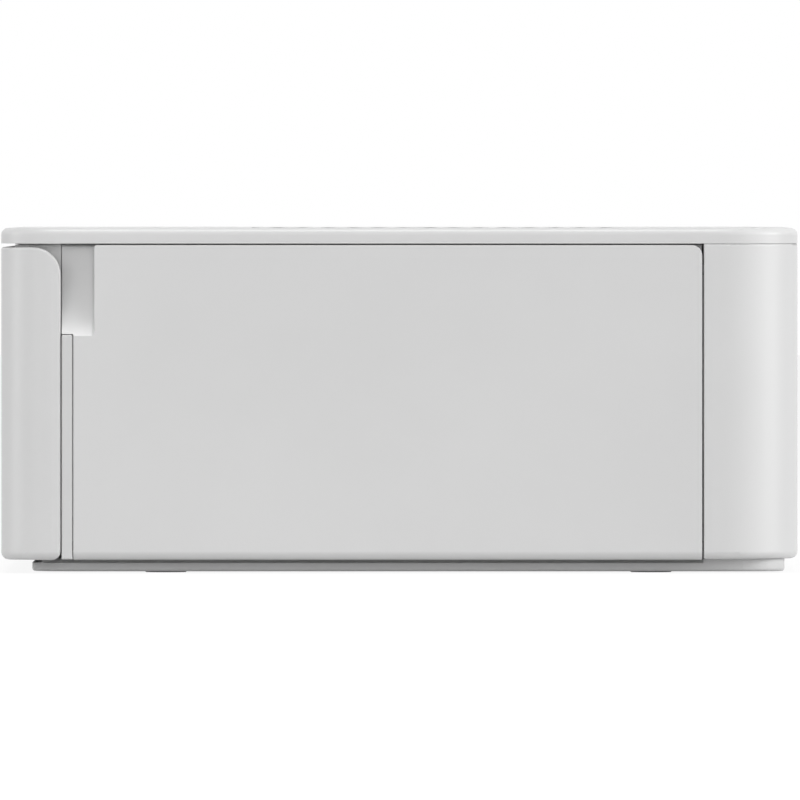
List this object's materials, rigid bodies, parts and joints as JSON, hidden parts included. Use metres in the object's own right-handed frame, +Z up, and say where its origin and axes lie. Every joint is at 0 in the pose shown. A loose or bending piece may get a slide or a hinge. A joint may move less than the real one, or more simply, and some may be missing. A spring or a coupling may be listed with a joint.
{
  "type": "compact photo printer",
  "caption": "Flat box-shaped dye-sublimation photo printer with a fold-down front cover, a fold-down ink door on its right side, a display and keys on top, and a paper slot at the back.",
  "frame": {"origin": "on the floor, below the middle of the printer's outline", "axes": "+X to the printer's right, the ink door's side; -Y to its front; +Z up"},
  "size_m": [0.1822, 0.133, 0.0576],
  "materials": {
    "white_shell": "satin white moulded plastic",
    "white_base": "matt white moulded plastic",
    "inner_plastic": "matt white moulded plastic",
    "grey_button": "satin light grey plastic",
    "black_window": "gloss black display window",
    "display": "dark display panel",
    "board": "green circuit board",
    "dark_plastic": "dark grey plastic",
    "gear_plastic": "natural white gear plastic",
    "rubber": "dark grey rubber",
    "sheet_steel": "zinc-plated sheet steel",
    "shaft_steel": "ground steel",
    "screw_steel": "plated screw steel",
    "aluminium": "bare aluminium",
    "ceramic": "glazed ceramic",
    "ribbon_film": "dye ribbon film",
    "cable": "white flat cable"
  },
  "bodies": {
    "printer": {"base_pan": "white_base", "base_screws": "screw_steel", "body_shell": "white_shell", "card_reader": "sheet_steel", "cassette_bay": "inner_plastic", "control_board": "board", "dc_inlet": "dark_plastic", "display_panel": "display", "display_window": "black_window", "drive_motors": "sheet_steel", "fixed_shafts": "shaft_steel", "flat_cable": "cable", "frame_crossbars": "sheet_steel", "frame_plate_left": "sheet_steel", "frame_plate_right": "sheet_steel", "ink_bay_liner": "inner_plastic", "ink_cassette_case": "dark_plastic", "inner_frame": "inner_plastic", "key_switches": "dark_plastic", "main_board": "board", "motor_bracket": "sheet_steel", "paper_guides": "dark_plastic", "ribbon_web": "ribbon_film", "rubber_feet": "rubber", "shaft_bushes": "dark_plastic", "top_cover": "white_shell", "usb_socket": "sheet_steel"},
    "front_cover": {"front_cover": "white_shell", "front_hinge_pins": "shaft_steel"},
    "ink_door": {"ink_door": "white_shell", "door_hinge_pins": "shaft_steel"},
    "capstan": {"capstan_roller": "shaft_steel", "capstan_gear": "gear_plastic"},
    "platen": {"platen_shaft": "shaft_steel", "platen_rubber": "rubber", "platen_gear": "gear_plastic"},
    "idler": {"idler_gear": "gear_plastic"},
    "compound": {"compound_gear": "gear_plastic"},
    "feed_rotor": {"feed_pinion": "gear_plastic"},
    "pinch": {"pinch_roller": "shaft_steel"},
    "pickup": {"pickup_shaft": "dark_plastic", "pickup_tyres": "rubber"},
    "takeup": {"takeup_spool": "inner_plastic", "takeup_ribbon": "ribbon_film", "takeup_gear": "gear_plastic"},
    "supply": {"supply_spool": "inner_plastic", "supply_ribbon": "ribbon_film"},
    "ribbon_rotor": {"ribbon_pinion": "gear_plastic"},
    "print_head": {"head_arm": "sheet_steel", "head_heatsink": "aluminium", "head_ceramic": "ceramic"},
    "button_power": {"button_power": "grey_button"},
    "button_menu": {"button_menu": "grey_button"},
    "button_back": {"button_back": "grey_button"},
    "button_up": {"button_up": "grey_button"},
    "button_down": {"button_down": "grey_button"},
    "button_left": {"button_left": "grey_button"},
    "button_right": {"button_right": "grey_button"},
    "button_ok": {"button_ok": "grey_button"},
    "button_print": {"button_print": "grey_button"}
  },
  "joints": [
    {"name": "front_cover_hinge", "type": "hinge", "parent": "printer", "child": "front_cover", "pos_m": [0, -0.0637, 0.0046], "axis": [1, 0, 0], "range_deg": [0, 90]},
    {"name": "ink_door_hinge", "type": "hinge", "parent": "printer", "child": "ink_door", "pos_m": [0.0882, 0, 0.00458], "axis": [0, 1, 0], "range_deg": [0, 90]},
    {"name": "capstan_spin", "type": "hinge", "parent": "printer", "child": "capstan", "pos_m": [0, -0.012, 0.0185], "axis": [1, 0, 0], "continuous": true},
    {"name": "platen_spin", "type": "hinge", "parent": "printer", "child": "platen", "pos_m": [0, 0.019, 0.0154], "axis": [1, 0, 0], "continuous": true},
    {"name": "idler_spin", "type": "hinge", "parent": "printer", "child": "idler", "pos_m": [0, 0.00257, 0.01384], "axis": [1, 0, 0], "continuous": true},
    {"name": "compound_spin", "type": "hinge", "parent": "printer", "child": "compound", "pos_m": [0, -0.00905, 0.02951], "axis": [1, 0, 0], "continuous": true},
    {"name": "feed_motor_spin", "type": "hinge", "parent": "printer", "child": "feed_rotor", "pos_m": [0, -0.02256, 0.03731], "axis": [1, 0, 0], "continuous": true},
    {"name": "pinch_spin", "type": "hinge", "parent": "printer", "child": "pinch", "pos_m": [0, -0.012, 0.0256], "axis": [1, 0, 0], "continuous": true},
    {"name": "pickup_spin", "type": "hinge", "parent": "printer", "child": "pickup", "pos_m": [0, -0.02586, 0.028], "axis": [1, 0, 0], "continuous": true},
    {"name": "takeup_spin", "type": "hinge", "parent": "printer", "child": "takeup", "pos_m": [0, 0.003, 0.033], "axis": [1, 0, 0], "continuous": true},
    {"name": "supply_spin", "type": "hinge", "parent": "printer", "child": "supply", "pos_m": [0, 0.037, 0.0345], "axis": [1, 0, 0], "continuous": true},
    {"name": "ribbon_motor_spin", "type": "hinge", "parent": "printer", "child": "ribbon_rotor", "pos_m": [0, 0.01086, 0.03851], "axis": [1, 0, 0], "continuous": true},
    {"name": "head_lift", "type": "hinge", "parent": "printer", "child": "print_head", "pos_m": [0, -0.01, 0.0435], "axis": [1, 0, 0], "range_deg": [0, 4]},
    {"name": "button_power_press", "type": "slide", "parent": "printer", "child": "button_power", "axis": [0, 0, -1], "range_m": [0, 0.0004], "stiffness_N_per_m": 800, "springref_m": -0.0005},
    {"name": "button_menu_press", "type": "slide", "parent": "printer", "child": "button_menu", "axis": [0, 0, -1], "range_m": [0, 0.0004], "stiffness_N_per_m": 800, "springref_m": -0.0005},
    {"name": "button_back_press", "type": "slide", "parent": "printer", "child": "button_back", "axis": [0, 0, -1], "range_m": [0, 0.0004], "stiffness_N_per_m": 800, "springref_m": -0.0005},
    {"name": "button_up_press", "type": "slide", "parent": "printer", "child": "button_up", "axis": [0, 0, -1], "range_m": [0, 0.0004], "stiffness_N_per_m": 800, "springref_m": -0.0005},
    {"name": "button_down_press", "type": "slide", "parent": "printer", "child": "button_down", "axis": [0, 0, -1], "range_m": [0, 0.0004], "stiffness_N_per_m": 800, "springref_m": -0.0005},
    {"name": "button_left_press", "type": "slide", "parent": "printer", "child": "button_left", "axis": [0, 0, -1], "range_m": [0, 0.0004], "stiffness_N_per_m": 800, "springref_m": -0.0005},
    {"name": "button_right_press", "type": "slide", "parent": "printer", "child": "button_right", "axis": [0, 0, -1], "range_m": [0, 0.0004], "stiffness_N_per_m": 800, "springref_m": -0.0005},
    {"name": "button_ok_press", "type": "slide", "parent": "printer", "child": "button_ok", "axis": [0, 0, -1], "range_m": [0, 0.0004], "stiffness_N_per_m": 800, "springref_m": -0.0005},
    {"name": "button_print_press", "type": "slide", "parent": "printer", "child": "button_print", "axis": [0, 0, -1], "range_m": [0, 0.0004], "stiffness_N_per_m": 800, "springref_m": -0.0005}
  ],
  "couplings": [
    {"joint": "pinch_spin", "follows": "capstan_spin", "ratio": -1.3333},
    {"joint": "platen_spin", "follows": "capstan_spin", "ratio": 0.85714},
    {"joint": "idler_spin", "follows": "capstan_spin", "ratio": -0.88889},
    {"joint": "pickup_spin", "follows": "capstan_spin", "ratio": -0.75},
    {"joint": "compound_spin", "follows": "capstan_spin", "ratio": -1.7143},
    {"joint": "feed_motor_spin", "follows": "capstan_spin", "ratio": 5.7143},
    {"joint": "ribbon_motor_spin", "follows": "takeup_spin", "ratio": -1.6667},
    {"joint": "supply_spin", "follows": "takeup_spin", "ratio": 0.69149}
  ]
}
